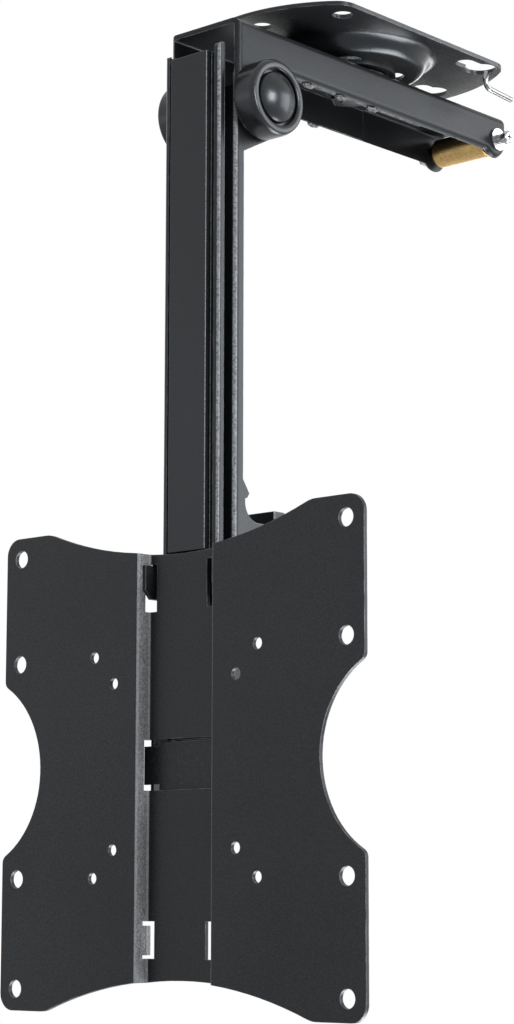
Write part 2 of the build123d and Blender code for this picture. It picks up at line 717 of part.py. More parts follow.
with BuildPart() as tilt_sleeve:
    with BuildSketch(Plane.YZ.offset(-bracket_inner_x)):
        with Locations((tilt_y, tilt_z)):
            Circle(tilt_sleeve_radius)
            Circle(tilt_bolt_radius + pin_play, mode=Mode.SUBTRACT)
    extrude(amount=2 * bracket_inner_x)
tilt_sleeve.part.label = "tilt_sleeve"
export_step(tilt_sleeve.part, "parts/tilt_sleeve.step")

# Catch bracket welded across the rear edges of the foot
with BuildPart() as catch_bracket:
    with BuildSketch(Plane.YZ.offset(-catch_half_width)) as catch_side:
        with Locations(((foot_rear_y + catch_rear_y) / 2, (catch_top_z + catch_bottom_z) / 2)):
            Rectangle(catch_rear_y - foot_rear_y, catch_top_z - catch_bottom_z)
        chamfer(catch_side.vertices().group_by(Axis.X)[-1].sort_by(Axis.Y)[-1:], catch_chamfer)
        fillet(catch_side.vertices().group_by(Axis.X)[-1].sort_by(Axis.Y)[:1], 4)
    extrude(amount=2 * catch_half_width)
    catch_bends = catch_bracket.edges().filter_by(Axis.Z).filter_by_position(
        Axis.Y, foot_rear_y - 0.01, foot_rear_y + 0.01
    )
    fillet(catch_bends, 1.2)
    with BuildSketch(Plane.XY.offset(catch_bottom_z - 1)):
        with Locations((0, foot_rear_y + bracket_sheet + 20)):
            Rectangle(2 * (catch_half_width - bracket_sheet), 40)
    extrude(amount=catch_top_z - catch_bottom_z + 2, mode=Mode.SUBTRACT)
catch_bracket.part.label = "catch_bracket"
export_step(catch_bracket.part, "parts/catch_bracket.step")

# Front rail: shallow rolled channel with two lips towards the screen side
rail_back_y = rail_front_y + rail_depth
with BuildPart() as front_rail:
    with BuildSketch(Plane.XY.offset(rail_bottom_z)) as rail_section:
        with Locations((0, rail_front_y + rail_depth / 2)):
            Rectangle(2 * rail_half_width, rail_depth)
        fillet(rail_section.vertices(), rail_corner_radius)
        with Locations((0, rail_front_y + rail_depth / 2)):
            Rectangle(2 * (rail_half_width - rail_sheet), rail_depth - 2 * rail_sheet, mode=Mode.SUBTRACT)
        with Locations((0, rail_front_y)):
            Rectangle(2 * rail_lip_x, 2 * rail_sheet + 0.2, mode=Mode.SUBTRACT)
    extrude(amount=rail_top_z - rail_bottom_z)
    with BuildSketch(Plane.XZ.offset(-rail_front_y + 1)):
        with Locations((0, rail_top_z)):
            Rectangle(2 * rail_lip_x, 2 * (rail_top_z - cover_top_z) + 4)
    extrude(amount=-rail_depth - 2, mode=Mode.SUBTRACT)
    with BuildSketch(Plane.YZ.offset(-rail_half_width)) as rail_side:
        with Locations((rail_front_y + rail_depth / 2, (rail_top_z + rail_bottom_z) / 2)):
            Rectangle(rail_depth, rail_top_z - rail_bottom_z)
        fillet(rail_side.vertices().group_by(Axis.Y)[-1], rail_top_round)
    extrude(amount=2 * rail_half_width, mode=Mode.INTERSECT)
    with Locations(Location((0, rail_back_y, rivet_middle_z), (90, 0, 0))):
        with GridLocations(1, rivet_pitch, 1, rivet_count):
            Cylinder(rivet_radius + pin_play, rivet_cut, mode=Mode.SUBTRACT)
front_rail.part.label = "front_rail"
export_step(front_rail.part, "parts/front_rail.step")

# Cover strip that slides in behind the lips, with a raised rib down the middle
cover_front_y = rail_front_y + rail_sheet
with BuildPart() as rail_cover:
    with BuildSketch(Plane.XY.offset(cover_bottom_z)):
        with Locations((0, cover_front_y + cover_sheet / 2)):
            Rectangle(2 * cover_half_width, cover_sheet)
        with Locations((0, rail_front_y + (rail_sheet + cover_sheet) / 2)):
            Rectangle(2 * cover_rib_x, rail_sheet + cover_sheet)
        with Locations((0, rail_front_y + cover_sheet + rail_sheet / 2)):
            Rectangle(2 * (cover_rib_x - cover_sheet), rail_sheet, mode=Mode.SUBTRACT)
    extrude(amount=cover_top_z - cover_bottom_z)
rail_cover.part.label = "rail_cover"
export_step(rail_cover.part, "parts/rail_cover.step")

# Narrow spacer channel between the rail and the rear bracket
with BuildPart() as column_spacer:
    with BuildSketch(Plane.XY.offset(spacer_bottom_z)):
        with Locations((0, (rail_back_y + bracket_front_y) / 2)):
            Rectangle(2 * spacer_half_width, bracket_front_y - rail_back_y)
        with Locations((0, (rail_back_y + bracket_front_y) / 2 + rail_sheet)):
            Rectangle(
                2 * (spacer_half_width - rail_sheet),
                bracket_front_y - rail_back_y,
                mode=Mode.SUBTRACT,
            )
    extrude(amount=spacer_top_z - spacer_bottom_z)
    with Locations(Location((0, rail_back_y, rivet_middle_z), (90, 0, 0))):
        with GridLocations(1, rivet_pitch, 1, rivet_count):
            Cylinder(rivet_radius + pin_play, rivet_cut, mode=Mode.SUBTRACT)
column_spacer.part.label = "column_spacer"
export_step(column_spacer.part, "parts/column_spacer.step")

# Four rivets through rail, spacer and bracket
rivet_head_y = rail_back_y - rail_sheet
rivet_tail_y = bracket_front_y + bracket_sheet
with BuildPart() as column_rivets:
    for rivet_number in range(rivet_count):
        rivet_z = rivet_middle_z + (rivet_number - (rivet_count - 1) / 2) * rivet_pitch
        with BuildSketch(Plane.XZ.offset(-rivet_head_y + rivet_head_height)):
            with Locations((0, rivet_z)):
                Circle(rivet_head_radius)
        extrude(amount=-rivet_head_height)
        with BuildSketch(Plane.XZ.offset(-rivet_head_y)):
            with Locations((0, rivet_z)):
                Circle(rivet_radius)
        extrude(amount=-(rivet_tail_y - rivet_head_y))
        with BuildSketch(Plane.XZ.offset(-rivet_tail_y)):
            with Locations((0, rivet_z)):
                Circle(rivet_head_radius)
        extrude(amount=-rivet_tail_height)
column_rivets.part.label = "column_rivets"
export_step(column_rivets.part, "parts/column_rivets.step")

# Screen plate: waisted outline, sunken middle channel, square hole patterns and side windows
screen_rear_y = screen_front_y + plate_sheet
strip_front_y = screen_front_y + channel_depth
strip_rear_y = strip_front_y + plate_sheet
screen_plane = Plane(origin=(0, strip_rear_y, screen_centre_z), x_dir=(1, 0, 0), z_dir=(0, -1, 0))
wall_offset = plate_sheet * 0.96
with BuildPart() as screen_plate:
    with BuildSketch(screen_plane) as screen_outline:
        Rectangle(2 * screen_half_size, 2 * screen_half_size)
        with Locations((0, waist_floor_z + waist_radius), (0, -waist_floor_z - waist_radius)):
            Circle(waist_radius, mode=Mode.SUBTRACT)
        with Locations((side_waist_x + side_waist_radius, 0), (-side_waist_x - side_waist_radius, 0)):
            Circle(side_waist_radius, mode=Mode.SUBTRACT)
        corner_points = screen_outline.vertices().filter_by(
            lambda v: abs(v.X) > screen_half_size - 0.01 and abs(v.Y) > screen_half_size - 0.01
        )
        fillet(corner_points, screen_corner_radius)
        waist_points = screen_outline.vertices().filter_by(
            lambda v: abs(v.X) < screen_half_size - 15 and abs(v.Y) > screen_half_size - 0.01
        )
        fillet(waist_points, waist_lobe_round)
        side_points = screen_outline.vertices().filter_by(
            lambda v: abs(v.X) > screen_half_size - 0.01 and abs(v.Y) < screen_half_size - 30
        )
        fillet(side_points, side_lobe_round)
    extrude(amount=channel_depth + plate_sheet)
    with BuildSketch(Plane.XY.offset(screen_centre_z - screen_half_size)) as screen_section:
        with BuildLine():
            Polyline(
                (-screen_half_size - 2, screen_front_y),
                (-channel_half_front, screen_front_y),
                (-channel_half_floor, strip_front_y),
                (channel_half_floor, strip_front_y),
                (channel_half_front, screen_front_y),
                (screen_half_size + 2, screen_front_y),
                (screen_half_size + 2, screen_rear_y),
                (channel_half_front + wall_offset, screen_rear_y),
                (channel_half_floor + wall_offset, strip_rear_y),
                (-channel_half_floor - wall_offset, strip_rear_y),
                (-channel_half_front - wall_offset, screen_rear_y),
                (-screen_half_size - 2, screen_rear_y),
                (-screen_half_size - 2, screen_front_y),
            )
        make_face()
        bend_points = screen_section.vertices().filter_by(lambda v: abs(v.X) < screen_half_size)
        fillet(bend_points, bend_radius)
    extrude(amount=2 * screen_half_size, mode=Mode.INTERSECT)
    # Hole patterns for the screen
    with BuildSketch(screen_plane):
        with GridLocations(vesa_outer, vesa_outer, 2, 2):
            Circle(outer_hole_radius)
        with GridLocations(vesa_outer, vesa_outer_short, 2, 2):
            Circle(outer_hole_radius)
        with GridLocations(vesa_middle, vesa_middle, 2, 2):
            Circle(inner_hole_radius)
        with GridLocations(vesa_small, vesa_small, 2, 2):
            Circle(inner_hole_radius)
    extrude(amount=channel_depth + plate_sheet, mode=Mode.SUBTRACT)
    # Top, middle and bottom windows, cut through the strip and into the channel walls
    window_outer_x = channel_half_front + plate_sheet + 1
    with BuildSketch(screen_plane):
        for inner_x, outer_x in ((window_left_x, -window_outer_x), (window_right_x, window_outer_x)):
            window_x = (inner_x + outer_x) / 2
            window_width = abs(outer_x - inner_x)
            with Locations((window_x, (top_window_high + top_window_low) / 2)):
                Rectangle(window_width, top_window_high - top_window_low)
            with Locations((window_x, (bottom_window_high + bottom_window_low) / 2)):
                Rectangle(window_width, bottom_window_high - bottom_window_low)
        with Locations((0, (middle_window_high + middle_window_low) / 2)):
            Rectangle(2 * window_outer_x, middle_window_high - middle_window_low)
        for inner_x in (window_left_x - bottom_tab_inset, window_right_x + bottom_tab_inset):
            with Locations((inner_x, (bottom_tab_high + bottom_tab_low) / 2)):
                Rectangle(
                    window_outer_x,
                    bottom_tab_high - bottom_tab_low,
                    align=(Align.MAX if inner_x < 0 else Align.MIN, Align.CENTER),
                    mode=Mode.SUBTRACT,
                )
    extrude(amount=channel_depth + plate_sheet - window_front_depth, mode=Mode.SUBTRACT)
screen_plate.part.label = "screen_plate"
export_step(screen_plate.part, "parts/screen_plate.step")

# Tilt bracket behind the screen plate: web, two side flanges and a lug through each top window
tilt_inner_x = bracket_half_width + tilt_flange_gap
tilt_outer_x = tilt_inner_x + bracket_sheet
tilt_rear_y = strip_rear_y + tilt_flange_depth
with BuildPart() as tilt_bracket:
    with BuildSketch(Plane.YZ.offset(-tilt_outer_x)) as tilt_side:
        with BuildLine():
            Polyline(
                (strip_rear_y, screen_centre_z + tilt_flange_high),
                (tilt_rear_y, screen_centre_z + tilt_flange_high),
                (tilt_rear_y, tilt_z + tilt_neck_rise),
                (tilt_y + tilt_shoulder_y, tilt_z + tilt_shoulder_rise),
                (tilt_y + tilt_shoulder_y, tilt_z - tilt_shoulder_rise),
                (tilt_rear_y, screen_centre_z + tilt_flange_low),
                (strip_rear_y, screen_centre_z + tilt_flange_low),
                (strip_rear_y, screen_centre_z + tilt_flange_high),
            )
        make_face()
        with Locations((tilt_y, tilt_z)):
            Circle(tilt_lobe_radius)
        fillet(tilt_side.vertices().sort_by(Axis.Y)[-2:].sort_by(Axis.X)[-1:], tilt_shoulder_round)
        with BuildLine():
            Polyline(
                (strip_rear_y + 1, screen_centre_z + lug_high),
                (screen_front_y + lug_tip_depth, screen_centre_z + lug_high),
                (screen_front_y + lug_tip_depth, screen_centre_z + lug_low + lug_round),
                (screen_front_y + lug_tip_depth + lug_round, screen_centre_z + lug_low),
                (strip_rear_y + 1, screen_centre_z + lug_low),
                (strip_rear_y + 1, screen_centre_z + lug_high),
            )
        make_face()
        with Locations((strip_rear_y, screen_centre_z + lug_low)):
            Rectangle(
                lug_notch_depth, lug_low - lug_notch_low, align=(Align.MIN, Align.MAX), mode=Mode.SUBTRACT
            )
    extrude(amount=2 * tilt_outer_x)
    with BuildSketch(Plane.XY.offset(screen_centre_z - screen_half_size)):
        with Locations((0, screen_front_y)):
            Rectangle(2 * tilt_inner_x, through_cut, align=(Align.CENTER, Align.MIN))
    extrude(amount=2 * screen_half_size, mode=Mode.SUBTRACT)
    with BuildSketch(screen_plane.offset(-bracket_sheet)) as tilt_web:
        with Locations((0, (tilt_web_high + tilt_web_low) / 2)):
            Rectangle(2 * tilt_web_half, tilt_web_high - tilt_web_low)
        with Locations((0, (tilt_bridge_high + tilt_bridge_low) / 2)):
            Rectangle(2 * tilt_bridge_half, tilt_bridge_high - tilt_bridge_low)
    extrude(amount=bracket_sheet)
    with Locations(Location((0, tilt_y, tilt_z), (0, 90, 0))):
        Cylinder(tilt_bolt_radius + pin_play, through_cut, mode=Mode.SUBTRACT)
tilt_bracket.part.label = "tilt_bracket"
export_step(tilt_bracket.part, "parts/tilt_bracket.step")

# Tilt bolt, washers, nut and the thin plastic glides between ears and flanges
tilt_washer_outer_x = tilt_outer_x + tilt_washer_height
tilt_tip_x = tilt_washer_outer_x + tilt_nut_height + tilt_thread_beyond_nut
with BuildPart() as tilt_bolt:
    with BuildSketch(Plane.YZ.offset(-tilt_tip_x)):
        with Locations((tilt_y, tilt_z)):
            Circle(tilt_bolt_radius)
    extrude(amount=tilt_washer_outer_x + tilt_tip_x)
    with BuildSketch(Plane.YZ.offset(tilt_washer_outer_x)):
        with Locations((tilt_y, tilt_z)):
            RegularPolygon(tilt_bolt_head_radius, 6)
    extrude(amount=tilt_bolt_head_height)
tilt_bolt.part.label = "tilt_bolt"
export_step(tilt_bolt.part, "parts/tilt_bolt.step")

with BuildPart() as tilt_nut:
    with BuildSketch(Plane.YZ.offset(-tilt_washer_outer_x - tilt_nut_height)):
        with Locations((tilt_y, tilt_z)):
            RegularPolygon(tilt_nut_flat / 2, 6, major_radius=False)
            Circle(tilt_bolt_radius, mode=Mode.SUBTRACT)
    extrude(amount=tilt_nut_height)
tilt_nut.part.label = "tilt_nut"
export_step(tilt_nut.part, "parts/tilt_nut.step")

with BuildPart() as tilt_washers:
    for washer_x in (tilt_outer_x, -tilt_washer_outer_x):
        with BuildSketch(Plane.YZ.offset(washer_x)):
            with Locations((tilt_y, tilt_z)):
                Circle(tilt_washer_radius)
                Circle(tilt_bolt_radius + pin_play, mode=Mode.SUBTRACT)
        extrude(amount=tilt_washer_height)
tilt_washers.part.label = "tilt_washers"
export_step(tilt_washers.part, "parts/tilt_washers.step")

tilt_glide_height = tilt_flange_gap - running_gap
with BuildPart() as tilt_glides:
    for glide_x in (bracket_half_width, -bracket_half_width - tilt_glide_height):
        with BuildSketch(Plane.YZ.offset(glide_x)):
            with Locations((tilt_y, tilt_z)):
                Circle(tilt_glide_radius)
                Circle(tilt_bolt_radius + pin_play, mode=Mode.SUBTRACT)
        extrude(amount=tilt_glide_height)
tilt_glides.part.label = "tilt_glides"
export_step(tilt_glides.part, "parts/tilt_glides.step")
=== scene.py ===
import math

import bmesh
import bpy
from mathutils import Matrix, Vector


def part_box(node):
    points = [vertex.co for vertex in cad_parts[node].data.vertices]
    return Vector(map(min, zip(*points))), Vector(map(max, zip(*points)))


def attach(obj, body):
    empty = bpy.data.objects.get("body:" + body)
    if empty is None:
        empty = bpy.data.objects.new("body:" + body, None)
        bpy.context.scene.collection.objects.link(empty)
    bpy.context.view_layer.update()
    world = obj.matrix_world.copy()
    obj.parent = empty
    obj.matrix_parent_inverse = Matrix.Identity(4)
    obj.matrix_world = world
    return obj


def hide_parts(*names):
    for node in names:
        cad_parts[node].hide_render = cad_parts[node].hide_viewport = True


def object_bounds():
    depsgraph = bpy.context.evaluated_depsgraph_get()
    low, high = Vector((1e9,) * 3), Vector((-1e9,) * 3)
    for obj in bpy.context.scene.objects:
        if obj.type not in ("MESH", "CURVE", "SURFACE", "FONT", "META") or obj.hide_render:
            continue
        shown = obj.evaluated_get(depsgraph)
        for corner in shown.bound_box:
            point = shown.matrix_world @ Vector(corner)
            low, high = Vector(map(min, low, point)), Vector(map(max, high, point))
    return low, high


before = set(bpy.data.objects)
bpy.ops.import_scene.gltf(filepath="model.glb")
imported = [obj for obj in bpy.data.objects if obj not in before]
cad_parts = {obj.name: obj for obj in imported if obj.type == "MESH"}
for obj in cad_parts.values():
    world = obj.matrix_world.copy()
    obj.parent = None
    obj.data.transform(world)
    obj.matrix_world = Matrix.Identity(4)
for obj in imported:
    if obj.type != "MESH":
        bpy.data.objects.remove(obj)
cad_low, cad_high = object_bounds()


# The camera.
# A long lens stands a little over a metre away, in front of the screen plate and to its right.
# It looks up by nine degrees, so the ceiling plate is seen from below.

camera_place = (0.7822, -0.9404, -0.4233)
camera_turn_degrees = (98.876, -0.126, 41.994)

camera_data = bpy.data.cameras.new("camera")
camera_data.lens = 89.64
camera_data.sensor_width = 36.0
camera_data.shift_x = 0.0048
camera_data.shift_y = 0.0040
camera = bpy.data.objects.new("camera", camera_data)
camera.location = camera_place
camera.rotation_euler = [math.radians(turn) for turn in camera_turn_degrees]
bpy.context.scene.collection.objects.link(camera)
bpy.context.scene.camera = camera
bpy.context.scene.view_settings.view_transform = "Standard"


# The room.
# A plain white room with a pale floor far below the hanging mount. Two soft lamps stand on
# the right, one low behind the mount, and weaker ones high behind it and at the left front.

room_light = 0.45
white = (1.0, 1.0, 1.0, 1.0)
floor_drop = 2.4
floor_reach = 9.0
floor_fade_start = 2.0
floor_fade_end = 7.2
floor_colour = (0.86, 0.86, 0.86, 1.0)


def feed(tree, value, socket):
    """Sets an input to a number or a colour, or links another node's socket to it."""
    if isinstance(value, bpy.types.NodeSocket):
        tree.links.new(value, socket)
    else:
        socket.default_value = value


def add_node(tree, kind, values=None, **settings):
    """Adds one shader node, with its settings and what goes into its inputs."""
    made = tree.nodes.new(kind)
    for name, value in settings.items():
        setattr(made, name, value)
    for name, value in (values or {}).items():
        feed(tree, value, made.inputs[name])
    return made


def maths(tree, operation, first, second, clamp=False):
    """Works one sum on two values, each a number or a socket, and gives the result's socket."""
    made = add_node(
        tree, "ShaderNodeMath", {0: first, 1: second}, operation=operation, use_clamp=clamp
    )
    return made.outputs[0]


def seen_directly(tree):
    """Gives 1 for what the eye sees straight, in a mirror or through glass, and 0 for the rest."""
    path = add_node(tree, "ShaderNodeLightPath").outputs
    mirror = maths(tree, "MAXIMUM", path["Is Glossy Ray"], path["Is Transmission Ray"])
    return maths(tree, "MAXIMUM", path["Is Camera Ray"], mirror)


def new_material(name):
    """A material with nothing in its node tree yet."""
    material = bpy.data.materials.new(name)
    material.use_nodes = True
    material.node_tree.nodes.clear()
    return material, material.node_tree


world = bpy.data.worlds.new("white_room")
world.use_nodes = True
tree = world.node_tree
tree.nodes.clear()
strength = add_node(
    tree, "ShaderNodeMapRange", {"Value": seen_directly(tree), "To Min": room_light, "To Max": 1.0}
)
walls = add_node(
    tree, "ShaderNodeBackground", {"Color": white, "Strength": strength.outputs[0]}
)
add_node(tree, "ShaderNodeOutputWorld", {"Surface": walls.outputs[0]})
bpy.context.scene.world = world

floor_mesh = bpy.data.meshes.new("floor")
floor_mesh.from_pydata(
    [
        (-floor_reach, -floor_reach, -floor_drop),
        (floor_reach, -floor_reach, -floor_drop),
        (floor_reach, floor_reach, -floor_drop),
        (-floor_reach, floor_reach, -floor_drop),
    ],
    [],
    [(0, 1, 2, 3)],
)
floor = bpy.data.objects.new("floor", floor_mesh)
bpy.context.scene.collection.objects.link(floor)

# The floor is plain paint under the mount, and far out it runs into the white of the room.
floor_paint, tree = new_material("floor_paint")
place = add_node(tree, "ShaderNodeTexCoord").outputs
distance = add_node(tree, "ShaderNodeVectorMath", {0: place["Object"]}, operation="LENGTH")
far_out = add_node(
    tree,
    "ShaderNodeMapRange",
    {
        "Value": distance.outputs["Value"],
        "From Min": floor_fade_start,
        "From Max": floor_fade_end,
    },
)
fade = maths(tree, "MULTIPLY", far_out.outputs[0], seen_directly(tree))
paint = add_node(tree, "ShaderNodeBsdfDiffuse", {"Color": floor_colour})
glow = add_node(tree, "ShaderNodeEmission", {"Color": white, "Strength": 1.0})
blend = add_node(
    tree, "ShaderNodeMixShader", {0: fade, 1: paint.outputs[0], 2: glow.outputs[0]}
)
add_node(tree, "ShaderNodeOutputMaterial", {"Surface": blend.outputs[0]})
floor_mesh.materials.append(floor_paint)


def soft_lamp(name, place, aim, width, height, power):
    """A broad soft lamp at a place, turned to the point that it lights."""
    data = bpy.data.lights.new(name, "AREA")
    data.shape = "RECTANGLE"
    data.size = width
    data.size_y = height
    data.energy = power
    lamp = bpy.data.objects.new(name, data)
    lamp.location = place
    lamp.rotation_euler = (Vector(aim) - Vector(place)).to_track_quat("-Z", "Y").to_euler()
    lamp.visible_camera = False
    bpy.context.scene.collection.objects.link(lamp)


middle = (cad_low + cad_high) / 2.0
for name, place, width, height, power in (
    ("lamp_right_rear", (1.8, 1.9, 0.2), 1.7, 1.5, 34.0),
    ("lamp_right", (2.4, -0.15, 0.20), 0.75, 0.9, 46.0),
    ("lamp_behind", (-0.9, 2.3, -0.1), 1.2, 0.8, 9.0),
    ("lamp_below", (0.25, 0.75, -1.35), 1.2, 0.7, 30.0),
    ("lamp_front_left", (-1.7, -2.2, 0.15), 1.4, 0.7, 2.0),
):
    soft_lamp(name, place, middle, width, height, power)


# The ceiling plate.
# Pressed from black powder coated sheet, with a domed middle, curved slots and keyholes.
# The coat is thinnest on its cut edges, where handling has rubbed it.

# The rubbed grey below also colours the painted highlight on the folds of the sheet.
coat_rubbed_and_highlight = (0.290, 0.298, 0.312, 1.0)
coat_sheen = (0.84, 0.92, 1.0, 1.0)
coat_relief = 0.00012
edge_samples = 6


def new_group(name, inputs, *outputs):
    """A shader node group with named inputs and their values, and with named outputs."""
    group = bpy.data.node_groups.new(name, "ShaderNodeTree")
    for socket, value in inputs.items():
        made = group.interface.new_socket(
            socket, in_out="INPUT", socket_type="NodeSocketFloat"
        )
        made.default_value = value
    for socket in outputs:
        group.interface.new_socket(socket, in_out="OUTPUT", socket_type="NodeSocketFloat")
    given = add_node(group, "NodeGroupInput").outputs
    result = add_node(group, "NodeGroupOutput").inputs
    return group, given, result


# Rubbed edges: a mask that is 1 where the surface turns sharply, broken up in patches.
rubbed_edges, given, result = new_group(
    "rubbed_edges", {"Edge Radius": 0.0006, "Amount": 1.0, "Patch Scale": 160.0}, "Mask"
)
rounded = add_node(
    rubbed_edges, "ShaderNodeBevel", {"Radius": given["Edge Radius"]}, samples=edge_samples
)
surface = add_node(rubbed_edges, "ShaderNodeNewGeometry")
agree = add_node(
    rubbed_edges,
    "ShaderNodeVectorMath",
    {0: rounded.outputs["Normal"], 1: surface.outputs["Normal"]},
    operation="DOT_PRODUCT",
)
turned = add_node(
    rubbed_edges,
    "ShaderNodeMapRange",
    {"Value": agree.outputs["Value"], "From Min": 0.995, "From Max": 0.86},
)
place = add_node(rubbed_edges, "ShaderNodeTexCoord").outputs
patches = add_node(
    rubbed_edges,
    "ShaderNodeTexNoise",
    {
        "Vector": place["Object"],
        "Scale": given["Patch Scale"],
        "Detail": 4.0,
        "Roughness": 0.65,
    },
)
broken = add_node(
    rubbed_edges,
    "ShaderNodeMapRange",
    {"Value": patches.outputs["Fac"], "From Min": 0.38, "From Max": 0.66},
)
rubbed = maths(rubbed_edges, "MULTIPLY", turned.outputs[0], broken.outputs[0])
scaled = maths(rubbed_edges, "MULTIPLY", rubbed, given["Amount"], clamp=True)
feed(rubbed_edges, scaled, result["Mask"])

# Coat grain: the fine bumps of baked powder, with broad soft changes of tone over them.
coat_grain, given, result = new_group(
    "coat_grain",
    {"Grain Scale": 1300.0, "Cloud Scale": 14.0},
    "Height",
    "Tone",
    "Sheen Change",
)
place = add_node(coat_grain, "ShaderNodeTexCoord").outputs
grain = add_node(
    coat_grain,
    "ShaderNodeTexNoise",
    {"Vector": place["Object"], "Scale": given["Grain Scale"], "Detail": 3.0, "Roughness": 0.6},
)
clouds = add_node(
    coat_grain,
    "ShaderNodeTexNoise",
    {"Vector": place["Object"], "Scale": given["Cloud Scale"], "Detail": 5.0, "Roughness": 0.55},
)
specks = add_node(
    coat_grain,
    "ShaderNodeMapRange",
    {"Value": grain.outputs["Fac"], "From Min": 0.42, "From Max": 0.72},
)
cloudy = add_node(
    coat_grain,
    "ShaderNodeMapRange",
    {"Value": clouds.outputs["Fac"], "From Min": 0.3, "From Max": 0.7},
)
tone = add_node(
    coat_grain,
    "ShaderNodeMix",
    {"Factor": 0.35, "A": specks.outputs[0], "B": cloudy.outputs[0]},
    data_type="FLOAT",
    clamp_factor=True,
)
feed(coat_grain, grain.outputs["Fac"], result["Height"])
feed(coat_grain, tone.outputs["Result"], result["Tone"])
feed(coat_grain, cloudy.outputs[0], result["Sheen Change"])

# Fold wear and highlight: a mask along the bends of the folded sheet that lightens them in specks,
# partly for rubbed coat and partly as a painted highlight on the bends. A bend shows as a normal
# that leans between two of the sheet's own directions.
fold_wear_and_highlight, given, result = new_group(
    "fold_wear_and_highlight", {"Upright Folds": 1.0, "Level Folds": 0.0, "Speck Scale": 900.0}, "Mask"
)
place = add_node(fold_wear_and_highlight, "ShaderNodeTexCoord").outputs
squared = add_node(
    fold_wear_and_highlight,
    "ShaderNodeVectorMath",
    {0: place["Normal"], 1: place["Normal"]},
    operation="MULTIPLY",
)
lean = add_node(fold_wear_and_highlight, "ShaderNodeSeparateXYZ", {0: squared.outputs[0]}).outputs
upright = maths(fold_wear_and_highlight, "MULTIPLY", lean["X"], lean["Y"])
level = maths(fold_wear_and_highlight, "MULTIPLY", lean["X"], lean["Z"])
upright_share = maths(fold_wear_and_highlight, "MULTIPLY", upright, given["Upright Folds"])
level_share = maths(fold_wear_and_highlight, "MULTIPLY", level, given["Level Folds"])
turning = add_node(
    fold_wear_and_highlight,
    "ShaderNodeMapRange",
    {
        "Value": maths(fold_wear_and_highlight, "ADD", upright_share, level_share),
        "From Min": 0.12,
        "From Max": 0.22,
    },
)
fine = add_node(
    fold_wear_and_highlight,
    "ShaderNodeTexNoise",
    {"Vector": place["Object"], "Scale": given["Speck Scale"], "Detail": 3.0, "Roughness": 0.7},
)
speckled = add_node(
    fold_wear_and_highlight,
    "ShaderNodeMapRange",
    {"Value": fine.outputs["Fac"], "From Min": 0.36, "From Max": 0.60, "To Min": 0.25},
)
worn_and_highlit_folds = maths(fold_wear_and_highlight, "MULTIPLY", turning.outputs[0], speckled.outputs[0], clamp=True)
feed(fold_wear_and_highlight, worn_and_highlit_folds, result["Mask"])


def place_group(tree, group, **values):
    """Puts a node group into a material, with this material's own values, and gives its outputs."""
    made = add_node(tree, "ShaderNodeGroup", node_tree=group)
    for name, value in values.items():
        made.inputs[name.replace("_", " ")].default_value = value
    return made.outputs


def colour_mix(tree, factor, first, second):
    """Mixes two colours by a factor socket. Each colour is a value or a socket."""
    made = add_node(
        tree, "ShaderNodeMix", {"Factor": factor}, data_type="RGBA", clamp_factor=True
    )
    for name, colour in (("A", first), ("B", second)):
        socket = [s for s in made.inputs if s.name == name and s.type == "RGBA"][0]
        feed(tree, colour, socket)
    return [s for s in made.outputs if s.type == "RGBA"][0]


def finish_shader(tree, colour, skin, dull, shiny, bump, relief, **values):
    """Ends a material: its colour, a gloss that changes in clouds and the bumps of its skin."""
    gloss = add_node(
        tree,
        "ShaderNodeMapRange",
        {"Value": skin["Sheen Change"], "To Min": shiny, "To Max": dull},
    )
    bumps = add_node(
        tree,
        "ShaderNodeBump",
        {"Strength": bump, "Distance": relief, "Height": skin["Height"]},
    )
    shader = add_node(
        tree,
        "ShaderNodeBsdfPrincipled",
        {
            "Base Color": colour,
            "Roughness": gloss.outputs[0],
            "Normal": bumps.outputs["Normal"],
        },
    )
    for name, value in values.items():
        shader.inputs[name.replace("_", " ")].default_value = value
    add_node(tree, "ShaderNodeOutputMaterial", {"Surface": shader.outputs["BSDF"]})


def powder_coat(
    name, dark, light, dull, shiny, grain, bump, rubbed, upright=0.0, level=0.0, gloss=0.24
):
    """Black powder coat: a grainy satin paint, greyer on its rubbed edges, and greyer in specks on
    its folds for rubbed coat and a painted highlight.
    """
    material, tree = new_material(name)
    skin = place_group(tree, coat_grain, Grain_Scale=grain)
    edges = place_group(tree, rubbed_edges, Amount=rubbed)
    folds = place_group(tree, fold_wear_and_highlight, Upright_Folds=upright, Level_Folds=level)
    wear_and_highlight = maths(tree, "MAXIMUM", edges["Mask"], folds["Mask"])
    body = colour_mix(tree, skin["Tone"], dark, light)
    worn = colour_mix(tree, wear_and_highlight, body, coat_rubbed_and_highlight)
    finish_shader(
        tree,
        worn,
        skin,
        dull,
        shiny,
        bump,
        relief=coat_relief,
        Specular_IOR_Level=gloss,
        Specular_Tint=coat_sheen,
    )
    return material


def finish_nodes(material, *names):
    """Gives a material to every slot of these solids."""
    for name in names:
        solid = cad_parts[name]
        if not solid.material_slots:
            solid.data.materials.append(material)
        for one in solid.material_slots:
            one.material = material


plate_coat = powder_coat(
    "plate_coat",
    dark=(0.0050, 0.0056, 0.0066, 1.0),
    light=(0.0130, 0.0140, 0.0156, 1.0),
    dull=0.32,
    shiny=0.20,
    grain=1100.0,
    bump=0.40,
    rubbed=0.8,
    gloss=0.42,
)
finish_nodes(plate_coat, "ceiling_plate")


# The hanger rod and the swivel stack.
# The rod is bent from bright plated wire. The bolt, nut, washer and boss are blackened steel,
# and they hold the arm up against a slippery disc of moulded black plastic.

metal_relief = 0.0001
metal_clouds = 90.0
metal_edge_radius = 0.0003
metal_edge_patches = 500.0
plastic_relief = 0.00008
plastic_clouds = 60.0
plastic_edge_radius = 0.0005
plastic_edge_wear = 0.5
plastic_gloss = 0.45


